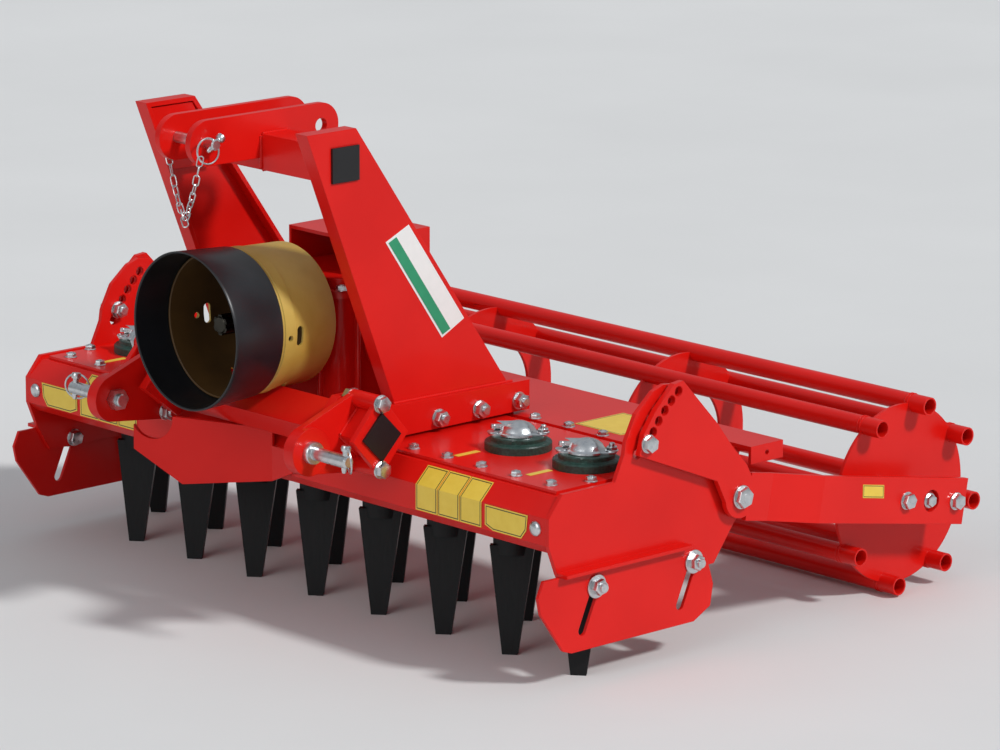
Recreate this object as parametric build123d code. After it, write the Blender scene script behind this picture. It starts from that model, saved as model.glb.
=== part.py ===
from build123d import *
import math
import os

# A tractor-mounted power harrow of about 1.35 m, in millimetres.
# X runs along the machine, Y from the tractor side (-Y) to the roller (+Y), Z up.
# All Y values below are counted from the line of the rotor shafts. The whole
# machine is moved at the end so that its plan is centred on the origin.

os.makedirs("parts", exist_ok=True)

# Gear trough
WIDTH = 1350.0          # over the outer faces of the two end plates
PLATE = 8.0             # end plates and other side plates
WALL = 6.0              # trough sheet
TROUGH_TOP = 316.0
TROUGH_BOTTOM = 225.0
TROUGH_HALF = 187.0     # rotor line to the front or rear face
BEVEL_UP = 30.0         # upper front and rear bevels, each way
BEVEL_LOW = 16.0        # lower bevels, each way
COVER = 6.0             # bolted cover and rear hood sheet
COVER_MARGIN = 14.0     # trough edge to cover edge

# Rotors and tines
ROTOR_COUNT = 8
ROTOR_EDGE = 108.0      # outermost rotor shaft to the outer face of the end plate
HOUSING_R = 52.0
HOUSING_H = 32.0
ROTOR_GAP = 0.3         # running gap below each housing
CARRIER_T = 30.0
CARRIER_OVER = 11.0     # carrier with two tines: its half length over half a rotor pitch
CARRIER_R = 34.0
TINE_TIP_OVER = 21.0    # radius of the tine tips over half a rotor pitch
TINE_RAKE = 26.0        # tips further out than the tops
TINE_TOP_W = 74.0
TINE_TIP_W = 26.0
TINE_T = 14.0
ROTOR_PHASE = -50.0     # rest angle of every carrier, from +X

# Upper bearings on the cover
BEARING_R = 56.0
BEARING_H = 24.0
CAP_R = 30.0
CAP_RISE = 17.0
CAP_PLATE = 6.0
CAP_HALF = 50.0         # half length of the cap's strap
CAP_W = 34.0

# End plates, side deflectors and rear hood
LIP_W = 22.0            # outward lip over each deflector
LIP_Z = 188.0
END_BOTTOM = 146.0
DEFLECTOR_T = 6.0
DEFLECTOR_BOTTOM = 58.0
SLOT_W = 17.0
SLOT_L = 92.0
SLOT_TILT = 24.0        # from upright, lower end towards the front
DEFLECTOR_BOLTS = (-87.0, 134.0)
DEFLECTOR_BOLT_Z = 160.0
HOOD_DEPTH = 208.0
HOOD_DROP = 30.0
HOOD_INSET = 9.0        # hood end to the inner face of the end plate
HOOD_NOTCH_X = 60.0
HOOD_NOTCH_Y = 132.0

# Three-point mast
MAST_X = 219.0          # outer face of each leg
LEG_WEB = 8.0
LEG_FLANGE = 28.0
MAST_TOP = 855.0
LEG_FOOT_Z = 378.0
LEG_TOP_Y = (-295.0, -189.0)
LEG_FOOT_Y = (-105.0, 149.0)
FOOT_Y = (-288.0, 191.0)
FOOT_T = 10.0
FOOT_LIFT = 5.0         # foot plate above the cover
FOOT_BOLT_Z = 345.0
FOOT_BOLTS = (-17.0, 75.0, 166.0)
FOOT_BOLT_R = 8.5
ANGLE_W = 60.0
ANGLE_T = 10.0
TUBE = 60.0             # square tubes
TUBE_WALL = 4.0
CROSS_Y = -214.0
CROSS_DROP = 56.0       # mast top to the crossbar's axis
PLUG_T = 4.0
HITCH_X = 45.0          # outer face of each top link plate
HITCH_T = 12.0
HITCH_R = 38.0
TOP_PIN_Y = -357.0
TOP_HOLE_Y = -113.0
TOP_LINK_DROP = 28.0    # mast top to the top link's pin
TOP_PIN_R = 9.5
TOP_PIN_OVER = 22.0     # pin beyond the plates
TOP_HOLE_R = 12.5

# Lower link brackets on the turned front tube
FRONT_TUBE_Y = -218.0
FRONT_TUBE_Z = 360.0
EAR_X = 243.0           # inner face of the ear plate
EAR_T = 12.0
EAR_DISC_T = 12.0       # round doubler outside each ear
CLAMP_X = 300.0         # inner face of the outer clamp plate
CLAMP_T = 10.0
CLAMP_HALF = 60.0       # half diagonal of the clamp plate
CLAMP_EDGE = 8.0        # further up and down
CLAMP_BOLT_OFF = 55.0   # clamp bolt above and below the tube's axis
SLEEVE_R = 14.0
LOWER_PIN_Y = -330.0
LOWER_PIN_Z = 345.0
LOWER_PIN_R = 11.0
LOWER_PIN_FREE = 82.0
COLLAR_R = 19.0
COLLAR_T = 10.0
EAR_R = 40.0
BRACE_T = 8.0
BRACE_TURN = 20.9       # from the trough's face, in plan
BRACE_CORNER_X = 8.0    # where it meets the trough
BRACE_FOOT = 62.0       # length of the foot along the trough
BRACE_DEPTH = 116.0
BRACE_END_H = 64.0      # top of the brace to the low corner at the ear
BRACE_NOTCH_W = 76.0    # round notch under the lower pin's nut
BRACE_NOTCH_H = 43.0

# Gearbox and drive
PTO_Z = 508.0
PTO_R = 17.45           # 1 3/8 inch splined shaft
PTO_TIP_Y = -300.0
PTO_SPLINE = 90.0       # free length of the splined end
PTO_SHOULDER_R = 22.0
GEARBOX_HALF_X = 92.0
GEARBOX_Y = (-120.0, 82.0)
GEARBOX_TOP = 572.0
GEARBOX_BASE_X = 118.0
GEARBOX_BASE_T = 18.0
GEARBOX_SEAT = 20.0     # depth of the shaft's seat in the body
FLANGE_R = 84.0
SHIELD_R = 133.0
SHIELD_Y = (-374.0, -268.0, -146.0)   # mouth, joint of the two shields, root
SHIELD_JOINT_R = 127.0
SHIELD_ROOT_R = 120.0
SHIELD_WALL = 4.0
SHIELD_LAP = 40.0       # rear shield inside the front one
SHIELD_CLEAR = 7.0      # notch in the rear shield, round the front tube
HOOD_BOX_X = 87.0
HOOD_BOX_Y = (-72.0, 92.0)
HOOD_BOX_RISE = 62.0    # sheet hood over the gearbox's top

# Roller and its arms
PIVOT_Y = 234.0
PIVOT_Z = 253.0
PIVOT_R = 12.0
PIVOT_HEAD_R = 20.0
PIVOT_HEAD_T = 13.0
PIVOT_COLLAR_R = 26.0
ARM_GAP = 5.5           # end plate to arm plate
ARM_T = 10.0
ARM_H = 80.0
ARM_JOG = 20.0
ARM_JOG_FROM = 70.0     # from the pivot, along the arm
ARM_JOG_TO = 175.0
ARM_LUG_R = 36.0
ARC_R = 250.0
ARC_START = 30.2        # first locking hole, above the line to the front
ARC_STEP = 4.7
ARC_HOLES = 6
ARC_HOLE_R = 8.5
ROLLER_Y = 677.0
BAR_CIRCLE_R = 156.0
BAR_R = 16.0
BAR_WALL = 3.0
BAR_COUNT = 8
ROLLER_LIFT = 4.0        # lowest bar above the tine tips
BAR_END_INSET = 3.0     # bar end inside the outer face of the end plate
BAR_PHASE = 122.5
DISC_INSET = 38.0       # end disc inside the outer face of the end plate
DISC_T = 6.0
RING_PLACES = (-0.585, 0.16)   # inner rings, as shares of the half width
RING_INNER = 97.0
STUB_R = 16.0
BEARING_FLANGE_T = 12.0
BEARING_BODY_R = 36.0
BEARING_BODY_T = 26.0
BEARING_BOLT = 63.0
SHAFT_HOLE_R = 19.0

FIT = 0.3               # running clearance on a radius
SNUG = 0.05             # a pin seated in its own plate

HALF = WIDTH / 2
INNER = HALF - PLATE
COVER_TOP = TROUGH_TOP + COVER
ROTOR_PITCH = (WIDTH - 2 * ROTOR_EDGE) / (ROTOR_COUNT - 1)
SPREAD = [(i - (ROTOR_COUNT - 1) / 2) * ROTOR_PITCH for i in range(ROTOR_COUNT)]
CARRIER_HALF = ROTOR_PITCH / 2 + CARRIER_OVER
TINE_TIP_RADIUS = ROTOR_PITCH / 2 + TINE_TIP_OVER
TINE_TOP_RADIUS = TINE_TIP_RADIUS - TINE_RAKE
HOOD_BOX_TOP = GEARBOX_TOP + HOOD_BOX_RISE
CROSS_Z = MAST_TOP - CROSS_DROP
TOP_LINK_Z = MAST_TOP - TOP_LINK_DROP
DISC_X = HALF - DISC_INSET
BAR_END_X = HALF - BAR_END_INSET
FRONT_REACH = TOP_PIN_Y - HITCH_R
BAR_ANGLES = [math.radians(BAR_PHASE + i * 360 / BAR_COUNT) for i in range(BAR_COUNT)]
ROLLER_Z = ROLLER_LIFT + BAR_R - BAR_CIRCLE_R * min(math.sin(a) for a in BAR_ANGLES)
REAR_REACH = ROLLER_Y + BAR_R + BAR_CIRCLE_R * max(math.cos(a) for a in BAR_ANGLES)
SHIFT = Location((0, -(FRONT_REACH + REAR_REACH) / 2, 0))


def save(name, shape):
    solids = [solid.moved(SHIFT) for solid in shape.solids()]
    placed = solids[0] if len(solids) == 1 else Compound(children=solids)
    export_step(placed, f"parts/{name}.step")
    print(name, len(solids), round(placed.volume / 1000), "cm3")


def side_plate(points, x_low, thickness, radius=0.0):
    """A plate square to X: its outline is given as (Y, Z) corners."""
    face = make_face(Polyline(*points, close=True))
    if radius:
        face = fillet(face.vertices(), radius)
    return Pos(x_low, 0, 0) * extrude(Plane.YZ * face, thickness)


def rod_x(x_low, x_high, y, z, r):
    """A round bar along X."""
    bar = Cylinder(r, x_high - x_low, rotation=(0, 90, 0))
    return Pos((x_low + x_high) / 2, y, z) * bar


def rod_y(y_low, y_high, x, z, r):
    """A round bar along Y."""
    bar = Cylinder(r, y_high - y_low, rotation=(90, 0, 0))
    return Pos(x, (y_low + y_high) / 2, z) * bar


def rod_z(z_low, z_high, x, y, r):
    """A round bar along Z."""
    return Pos(x, y, (z_low + z_high) / 2) * Cylinder(r, z_high - z_low)


def block(x, y, z):
    """A box between the low and high value of each pair."""
    size = Box(x[1] - x[0], y[1] - y[0], z[1] - z[0])
    return Pos(sum(x) / 2, sum(y) / 2, sum(z) / 2) * size


def both_sides(shape):
    """The right-hand piece and its mirror image."""
    return shape, mirror(shape, Plane.YZ)


def pair(shape):
    """The two sides as one node of separate solids."""
    right, left = both_sides(shape)
    return Compound(children=[*right.solids(), *left.solids()])


def cone_shell(y_low, y_high, r_low, r_high, wall):
    """A thin tapered tube round the drive axis."""
    ring = Polyline((r_low - wall, y_low), (r_low, y_low), (r_high, y_high),
                    (r_high - wall, y_high), close=True)
    return Pos(0, 0, PTO_Z) * revolve(make_face(ring), Axis.Y)


# Trough
def trough():
    half = TROUGH_HALF
    outline = [(-half + BEVEL_UP, TROUGH_TOP), (-half, TROUGH_TOP - BEVEL_UP),
               (-half, TROUGH_BOTTOM + BEVEL_LOW), (-half + BEVEL_LOW, TROUGH_BOTTOM),
               (half - BEVEL_LOW, TROUGH_BOTTOM), (half, TROUGH_BOTTOM + BEVEL_LOW),
               (half, TROUGH_TOP - BEVEL_LOW), (half - BEVEL_LOW, TROUGH_TOP)]
    face = make_face(Polyline(*outline, close=True))
    shell = face - offset(face, amount=-WALL)
    return Pos(-INNER, 0, 0) * extrude(Plane.YZ * shell, 2 * INNER)


def cover():
    y = (-TROUGH_HALF + BEVEL_UP + COVER_MARGIN / 2, TROUGH_HALF - BEVEL_LOW - 2 * COVER_MARGIN)
    x = (-INNER + COVER_MARGIN, INNER - COVER_MARGIN)
    return block(x, y, (TROUGH_TOP, COVER_TOP))


save("trough", trough())
save("trough_cover", cover())
housings = [rod_z(TROUGH_BOTTOM - HOUSING_H, TROUGH_BOTTOM, x, 0, HOUSING_R) for x in SPREAD]
save("rotor_housings", Compound(children=housings))

# Bearing bases and caps over the rotors, clear of the gearbox
bearing_x = [x for x in SPREAD if abs(x) > GEARBOX_BASE_X + BEARING_R and abs(abs(x) - MAST_X) > BEARING_R]
bases = []
caps = []
for x in bearing_x:
    base = rod_z(COVER_TOP, COVER_TOP + BEARING_H, x, 0, BEARING_R)
    bases += base.solids()
    strap_z = COVER_TOP + BEARING_H
    strap = Pos(x, 0, strap_z + CAP_PLATE / 2) * Rot(0, 0, 45) * extrude(
        SlotOverall(2 * CAP_HALF, CAP_W), CAP_PLATE / 2, both=True)
    dome_r = (CAP_R ** 2 + CAP_RISE ** 2) / (2 * CAP_RISE)
    dome_z = strap_z + CAP_PLATE
    dome = Pos(x, 0, dome_z + CAP_RISE - dome_r) * Sphere(dome_r)
    dome &= rod_z(dome_z, dome_z + CAP_RISE + 1, x, 0, CAP_R)
    caps += (strap + dome).solids()
save("bearing_bases", Compound(children=bases))
save("bearing_caps", Compound(children=caps))


# End plates with a sector of locking holes and the arm's pivot
def polar(radius, degrees):
    """A point on the arc about the arm's pivot, above the line to the front."""
    a = math.radians(degrees)
    return PIVOT_Y - radius * math.cos(a), PIVOT_Z + radius * math.sin(a)


def arc_holes(x_low, thickness, start):
    holes = []
    for i in range(ARC_HOLES):
        y, z = polar(ARC_R, start + i * ARC_STEP)
        holes += rod_x(x_low - 1, x_low + thickness + 1, y, z, ARC_HOLE_R).solids()
    return holes


ARC_END = ARC_START + (ARC_HOLES - 1) * ARC_STEP
PLATE_ARC = (ARC_START - ARC_STEP, ARC_END - ARC_STEP)   # the end plate's row starts a hole lower


def end_plate():
    half = TROUGH_HALF
    edge = ARC_R + 3 * ARC_HOLE_R
    first, last = PLATE_ARC
    sector = [polar(edge + 2, first - 2), polar(edge + 8, first + 2),
              polar(edge + 12, (first + last) / 2), polar(edge + 5, last - 2),
              polar(edge - 5, last + 3), polar(edge - 20, last + 6.5), polar(edge - 38, last + 8)]
    outline = [(-half + BEVEL_UP, COVER_TOP), (sector[0][0] - 20, COVER_TOP),
               *sector, (PIVOT_Y - 62, PIVOT_Z + 130), (PIVOT_Y + 6, PIVOT_Z + 34),
               (PIVOT_Y + 32, PIVOT_Z + 8), (PIVOT_Y + 30, PIVOT_Z - 18),
               (PIVOT_Y, LIP_Z + 20), (TROUGH_HALF, END_BOTTOM),
               (-half + 46, END_BOTTOM), (-half + 20, LIP_Z + 3),
               (-half, TROUGH_BOTTOM + BEVEL_LOW), (-half, TROUGH_TOP - BEVEL_UP)]
    plate = side_plate(outline, INNER, PLATE)
    lip = block((HALF, HALF + LIP_W), (-half + 20, DEFLECTOR_BOLTS[1] - 18), (LIP_Z, LIP_Z + WALL))
    plate += lip
    for hole in arc_holes(INNER, PLATE, first):
        plate -= hole
    plate -= rod_x(INNER - 1, HALF + 1, PIVOT_Y, PIVOT_Z, PIVOT_R + SNUG)
    for y in DEFLECTOR_BOLTS:
        plate -= rod_x(INNER - 1, HALF + 1, y, DEFLECTOR_BOLT_Z, SLOT_W / 2)
    return plate


right, left = both_sides(end_plate())
save("end_plate_right", right)
save("end_plate_left", left)


# Side deflectors, hung by slots under the lips
def deflector():
    front = -TROUGH_HALF - 28
    rear = DEFLECTOR_BOLTS[1] + 46
    top = LIP_Z - SNUG
    low = DEFLECTOR_BOTTOM
    outline = [(front + 12, top), (front, top - 26), (front + 6, top - 54), (front + 56, low + 6),
               (front + 74, low), (rear - 44, low), (rear - 6, low + 20), (rear, low + 56),
               (rear - 18, top - 16), (rear - 52, top)]
    plate = side_plate(outline, HALF, DEFLECTOR_T)
    tilt = math.radians(SLOT_TILT)
    reach = (SLOT_L - SLOT_W) / 2
    for y in DEFLECTOR_BOLTS:
        slot = extrude(Plane.YZ * (Rot(0, 0, 90 - SLOT_TILT) * SlotOverall(SLOT_L, SLOT_W)),
                       DEFLECTOR_T + 2, both=True)
        centre_y = y - reach * math.sin(tilt)
        centre_z = DEFLECTOR_BOLT_Z - reach * math.cos(tilt)
        plate -= Pos(HALF + DEFLECTOR_T / 2, centre_y, centre_z) * slot
    return plate


right, left = both_sides(deflector())
save("side_deflector_right", right)
save("side_deflector_left", left)


# Rear hood with folded edges
def hood():
    start = TROUGH_HALF - BEVEL_LOW - COVER_MARGIN
    end = start + HOOD_DEPTH
    x_end = INNER - HOOD_INSET
    sheet = block((-x_end, x_end), (start, end), (TROUGH_TOP, COVER_TOP))
    sheet += block((-x_end, x_end), (end - WALL, end), (COVER_TOP - HOOD_DROP, COVER_TOP))
    for side in (-1, 1):
        x_mid = side * (x_end - HOOD_NOTCH_X / 2)
        cut = (x_mid - HOOD_NOTCH_X / 2 - 1, x_mid + HOOD_NOTCH_X / 2 + 1)
        sheet -= block(cut, (start - 1, start + HOOD_NOTCH_Y), (TROUGH_TOP - 1, COVER_TOP + 1))
        tab_x = sorted((side * x_end, side * (x_end - WALL)))
        tab_y = (start + HOOD_NOTCH_Y, end)
        tab = block(tab_x, tab_y, (COVER_TOP - HOOD_DROP, COVER_TOP))
        tab -= rod_x(tab_x[0] - 1, tab_x[1] + 1, sum(tab_y) / 2, COVER_TOP - HOOD_DROP / 2, ARC_HOLE_R / 2)
        sheet += tab
    return sheet


save("rear_hood", hood())


# Mast legs, each a channel open to the inside and welded on a foot plate
def diamond(half):
    return [(FRONT_TUBE_Y - half, FRONT_TUBE_Z), (FRONT_TUBE_Y, FRONT_TUBE_Z + half),
            (FRONT_TUBE_Y + half, FRONT_TUBE_Z), (FRONT_TUBE_Y, FRONT_TUBE_Z - half)]


TUBE_DIAGONAL = TUBE * math.sqrt(2) / 2


def mast_leg():
    outline = [(LEG_FOOT_Y[0], LEG_FOOT_Z), (LEG_TOP_Y[0], MAST_TOP), (LEG_TOP_Y[1], MAST_TOP),
               (LEG_FOOT_Y[1], LEG_FOOT_Z)]
    face = make_face(Polyline(*outline, close=True))
    leg = extrude(Plane.YZ * face, LEG_FLANGE)
    inner = extrude(Plane.YZ * offset(face, amount=-LEG_WEB), LEG_FLANGE - LEG_WEB)
    leg = Pos(MAST_X - LEG_FLANGE, 0, 0) * (leg - inner)
    half = TUBE / 2 + SNUG
    leg -= block((MAST_X - LEG_FLANGE - 1, MAST_X + 1), (CROSS_Y - half, CROSS_Y + half),
                 (CROSS_Z - half, CROSS_Z + half))
    foot_low = COVER_TOP + FOOT_LIFT
    nose = FRONT_TUBE_Z + TUBE_DIAGONAL + 14
    foot_outline = [(FOOT_Y[0], FRONT_TUBE_Z), (FRONT_TUBE_Y - 20, nose), (FRONT_TUBE_Y + 20, nose),
                    (LEG_FOOT_Y[0] - 10, LEG_FOOT_Z + 4), (FOOT_Y[1], LEG_FOOT_Z),
                    (FOOT_Y[1], foot_low), (FRONT_TUBE_Y + 50, foot_low),
                    (FRONT_TUBE_Y, FRONT_TUBE_Z - TUBE_DIAGONAL - 14)]
    foot = side_plate(foot_outline, MAST_X - LEG_WEB, LEG_WEB + FOOT_T)
    foot -= side_plate(diamond(TUBE_DIAGONAL + SNUG), MAST_X - LEG_WEB - 1, LEG_WEB + FOOT_T + 2)
    leg += foot
    for y in FOOT_BOLTS:
        leg -= rod_x(MAST_X - LEG_WEB - 1, MAST_X + FOOT_T + 1, y, FOOT_BOLT_Z, FOOT_BOLT_R)
    return leg


right, left = both_sides(mast_leg())
save("mast_leg_right", right)
save("mast_leg_left", left)


def foot_angle():
    x_out = MAST_X - LEG_WEB
    y = (FOOT_BOLTS[0] - 30, TROUGH_HALF - BEVEL_LOW)
    upright = block((x_out - ANGLE_T, x_out), y, (COVER_TOP, LEG_FOOT_Z - LEG_WEB))
    flat = block((x_out - ANGLE_W, x_out), y, (COVER_TOP, COVER_TOP + ANGLE_T))
    angle = upright + flat
    for bolt_y in FOOT_BOLTS:
        angle -= rod_x(x_out - ANGLE_T - 1, x_out + 1, bolt_y, FOOT_BOLT_Z, FOOT_BOLT_R)
    return angle


save("foot_angles", pair(foot_angle()))


# Square tubes and their end plugs
def tube_x(half_length):
    section = Rectangle(TUBE, TUBE) - Rectangle(TUBE - 2 * TUBE_WALL, TUBE - 2 * TUBE_WALL)
    return extrude(Plane.YZ * section, half_length, both=True)


def plug():
    inside = TUBE - 2 * TUBE_WALL - 2 * SNUG
    cap = extrude(Plane.YZ * Rectangle(TUBE - 2, TUBE - 2), PLUG_T)
    return cap + extrude(Plane.YZ * Rectangle(inside, inside), -3 * PLUG_T)


FRONT_TUBE_END = CLAMP_X + CLAMP_T
save("mast_crossbar", Pos(0, CROSS_Y, CROSS_Z) * tube_x(MAST_X))
save("front_tube", Pos(0, FRONT_TUBE_Y, FRONT_TUBE_Z) * Rot(45, 0, 0) * tube_x(FRONT_TUBE_END))
upper_plug = Pos(MAST_X, CROSS_Y, CROSS_Z) * plug()
lower_plug = Pos(FRONT_TUBE_END, FRONT_TUBE_Y, FRONT_TUBE_Z) * Rot(45, 0, 0) * plug()
save("tube_plugs", Compound(children=[*pair(upper_plug).solids(), *pair(lower_plug).solids()]))


# Top link plates, welded across the crossbar
def hitch_plate():
    middle_y = (TOP_PIN_Y + TOP_HOLE_Y) / 2
    length = TOP_HOLE_Y - TOP_PIN_Y + 2 * HITCH_R
    face = Pos(middle_y, TOP_LINK_Z) * SlotOverall(length, 2 * HITCH_R)
    plate = Pos(HITCH_X - HITCH_T, 0, 0) * extrude(Plane.YZ * face, HITCH_T)
    half = TUBE / 2 + SNUG
    plate -= block((HITCH_X - HITCH_T - 1, HITCH_X + 1), (CROSS_Y - half, CROSS_Y + half),
                   (CROSS_Z - half, CROSS_Z + half))
    plate -= rod_x(HITCH_X - HITCH_T - 1, HITCH_X + 1, TOP_PIN_Y, TOP_LINK_Z, TOP_PIN_R + SNUG)
    plate -= rod_x(HITCH_X - HITCH_T - 1, HITCH_X + 1, TOP_HOLE_Y, TOP_LINK_Z, TOP_HOLE_R)
    return plate


right, left = both_sides(hitch_plate())
save("top_link_plate_right", right)
save("top_link_plate_left", left)
pin_end = HITCH_X + TOP_PIN_OVER
save("top_link_pin", rod_x(-pin_end, pin_end, TOP_PIN_Y, TOP_LINK_Z, TOP_PIN_R))


# Lower link brackets: an ear plate, an outer clamp plate and two sleeved bolts
def lower_bracket():
    ear_out = EAR_X + EAR_T
    tall = CLAMP_HALF + CLAMP_EDGE
    around = Polyline((FRONT_TUBE_Y, FRONT_TUBE_Z + tall), (FRONT_TUBE_Y + CLAMP_HALF, FRONT_TUBE_Z),
                      (FRONT_TUBE_Y, FRONT_TUBE_Z - tall), close=True)
    lobe = Pos(LOWER_PIN_Y, LOWER_PIN_Z) * Circle(EAR_R)
    outline = make_hull([*around.edges(), *lobe.edges()])
    ear = Pos(EAR_X, 0, 0) * extrude(Plane.YZ * outline, EAR_T)
    ear += rod_x(ear_out, ear_out + EAR_DISC_T, LOWER_PIN_Y, LOWER_PIN_Z, EAR_R)
    clamp_outline = [(FRONT_TUBE_Y - CLAMP_HALF, FRONT_TUBE_Z),
                     (FRONT_TUBE_Y, FRONT_TUBE_Z + tall), (FRONT_TUBE_Y + CLAMP_HALF, FRONT_TUBE_Z),
                     (FRONT_TUBE_Y, FRONT_TUBE_Z - tall)]
    clamp = side_plate(clamp_outline, CLAMP_X, CLAMP_T)
    bracket = ear + clamp
    for side in (-1, 1):
        z = FRONT_TUBE_Z + side * CLAMP_BOLT_OFF
        bracket += rod_x(EAR_X, CLAMP_X + CLAMP_T, FRONT_TUBE_Y, z, SLEEVE_R)
    hole = diamond(TUBE_DIAGONAL + SNUG)
    bracket -= side_plate(hole, EAR_X - 1, CLAMP_X + CLAMP_T - EAR_X + 2)
    bracket -= rod_x(EAR_X - 1, ear_out + EAR_DISC_T + 1, LOWER_PIN_Y, LOWER_PIN_Z, LOWER_PIN_R + SNUG)
    return bracket


right, left = both_sides(lower_bracket())
save("lower_bracket_right", right)
save("lower_bracket_left", left)


def lower_pin():
    face_x = EAR_X + EAR_T + EAR_DISC_T
    pin = rod_x(EAR_X - 22, face_x + COLLAR_T + LOWER_PIN_FREE, LOWER_PIN_Y, LOWER_PIN_Z, LOWER_PIN_R)
    pin += rod_x(face_x, face_x + COLLAR_T, LOWER_PIN_Y, LOWER_PIN_Z, COLLAR_R)
    nut = extrude(Plane.YZ * RegularPolygon(COLLAR_R, 6), 14)
    return pin + Pos(EAR_X - 14, LOWER_PIN_Y, LOWER_PIN_Z) * nut


right, left = both_sides(lower_pin())
save("lower_pin_right", right)
save("lower_pin_left", left)


# Front brace from the left ear to the trough
def brace():
    run = (EAR_X + BRACE_CORNER_X) / math.cos(math.radians(BRACE_TURN))
    top = FRONT_TUBE_Z - TUBE_DIAGONAL - 2
    notch_low = (-run + 0.45 * BRACE_NOTCH_W, top - BRACE_NOTCH_H)
    notch_end = (-run + BRACE_NOTCH_W, top)
    corner = (-run, top - BRACE_END_H / 3)
    edge = Polyline(corner, (-run, top - BRACE_END_H), (-0.65 * run, top - BRACE_DEPTH),
                    (0, top - 0.78 * BRACE_DEPTH), (0, top), notch_end)
    edge += ThreePointArc(notch_end, notch_low, corner)
    panel = extrude(Plane.XZ * make_face(edge), BRACE_T / 2, both=True)
    corner_y = -TROUGH_HALF - BRACE_T / 2
    panel = Pos(BRACE_CORNER_X, corner_y, 0) * Rot(0, 0, BRACE_TURN) * panel
    foot = make_face(Polyline((0, top - 0.78 * BRACE_DEPTH), (BRACE_FOOT, top - BRACE_END_H),
                              (BRACE_FOOT, TROUGH_TOP - BEVEL_UP), (0, TROUGH_TOP - BEVEL_UP), close=True))
    return panel + Pos(BRACE_CORNER_X, -TROUGH_HALF, 0) * extrude(Plane.XZ * foot, BRACE_T)


save("front_brace", brace())


# Gearbox: base flange, body, input flange and a sheet hood over it
def gearbox():
    y_mid = sum(GEARBOX_Y) / 2
    y_half = (GEARBOX_Y[1] - GEARBOX_Y[0]) / 2
    base_y = (GEARBOX_Y[0] - 10, GEARBOX_Y[1] + 26)
    base_top = COVER_TOP + GEARBOX_BASE_T
    box = block((-GEARBOX_BASE_X, GEARBOX_BASE_X), base_y, (COVER_TOP, base_top))
    body = Pos(0, y_mid, 0) * extrude(
        Plane.XY.offset(base_top - 1) * RectangleRounded(2 * GEARBOX_HALF_X, 2 * y_half, 34),
        GEARBOX_TOP - base_top + 1)
    box += body
    box += rod_y(SHIELD_Y[2], GEARBOX_Y[0] + 1, 0, PTO_Z, FLANGE_R)
    box -= rod_y(SHIELD_Y[2] - 1, GEARBOX_Y[0] + GEARBOX_SEAT, 0, PTO_Z, PTO_SHOULDER_R + FIT)
    return box


save("gearbox", gearbox())


def gearbox_hood():
    x = HOOD_BOX_X
    y0, y1 = HOOD_BOX_Y
    low = GEARBOX_TOP
    outer = block((-x, x), (y0, y1), (low, HOOD_BOX_TOP))
    inner = block((-x + WALL, x - WALL), (y0 - 1, y1 - WALL), (low - 1, HOOD_BOX_TOP - WALL))
    return outer - inner


save("gearbox_hood", gearbox_hood())
mouth_y, joint_y, root_y = SHIELD_Y
lap_r = SHIELD_JOINT_R - SHIELD_WALL - SNUG
rear_shield = cone_shell(joint_y - SHIELD_LAP, joint_y, lap_r, lap_r, SHIELD_WALL)
rear_shield += cone_shell(joint_y, root_y, lap_r, SHIELD_ROOT_R, SHIELD_WALL)
back = rod_y(root_y - SHIELD_WALL, root_y, 0, PTO_Z, SHIELD_ROOT_R - SHIELD_WALL - SNUG)
back -= rod_y(root_y - SHIELD_WALL - 1, root_y + 1, 0, PTO_Z, PTO_SHOULDER_R + SHIELD_CLEAR)
rear_shield -= side_plate(diamond(TUBE_DIAGONAL + SHIELD_CLEAR), -SHIELD_R, 2 * SHIELD_R)
save("pto_shield_rear", rear_shield)
save("pto_shield_back", back)
front_shield = cone_shell(mouth_y, joint_y, SHIELD_R, SHIELD_JOINT_R, SHIELD_WALL)
save("pto_shield_front", front_shield)

# Splined drive shaft
shaft = rod_y(PTO_TIP_Y, PTO_TIP_Y + PTO_SPLINE, 0, PTO_Z, PTO_R)
shaft += rod_y(PTO_TIP_Y + PTO_SPLINE, GEARBOX_Y[0] + GEARBOX_SEAT - FIT, 0, PTO_Z, PTO_SHOULDER_R)
save("pto_shaft", shaft)


# Rotors: a carrier below each housing with two knife tines
def rotor():
    top = TROUGH_BOTTOM - HOUSING_H - ROTOR_GAP
    low = top - CARRIER_T
    carrier = Pos(0, 0, low) * extrude(SlotOverall(2 * CARRIER_HALF, 2 * CARRIER_R), CARRIER_T)
    knife = make_face(Polyline((-TINE_TOP_W / 2, low + CARRIER_T / 2), (TINE_TOP_W / 2, low + CARRIER_T / 2),
                               (TINE_TIP_W / 2, 0), (-TINE_TIP_W / 2, 0), close=True))
    for side in (-1, 1):
        top_x = TINE_TOP_RADIUS
        tip_x = TINE_TIP_RADIUS
        upper = low + CARRIER_T / 2
        profile = make_face(Polyline((top_x - TINE_T / 2, upper), (top_x + TINE_T / 2, upper),
                                     (tip_x + TINE_T / 2, 0), (tip_x - TINE_T / 2, 0), close=True))
        slab = extrude(Plane.XZ * profile, TINE_TOP_W, both=True)
        blade = extrude(Plane.YZ * knife, 2 * TINE_TIP_RADIUS)
        tine = slab & blade
        if side < 0:
            tine = Rot(0, 0, 180) * tine
        carrier += tine
    return carrier


for i, x in enumerate(SPREAD):
    save(f"rotor_{i + 1}", Pos(x, 0, 0) * Rot(0, 0, ROTOR_PHASE) * rotor())


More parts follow.
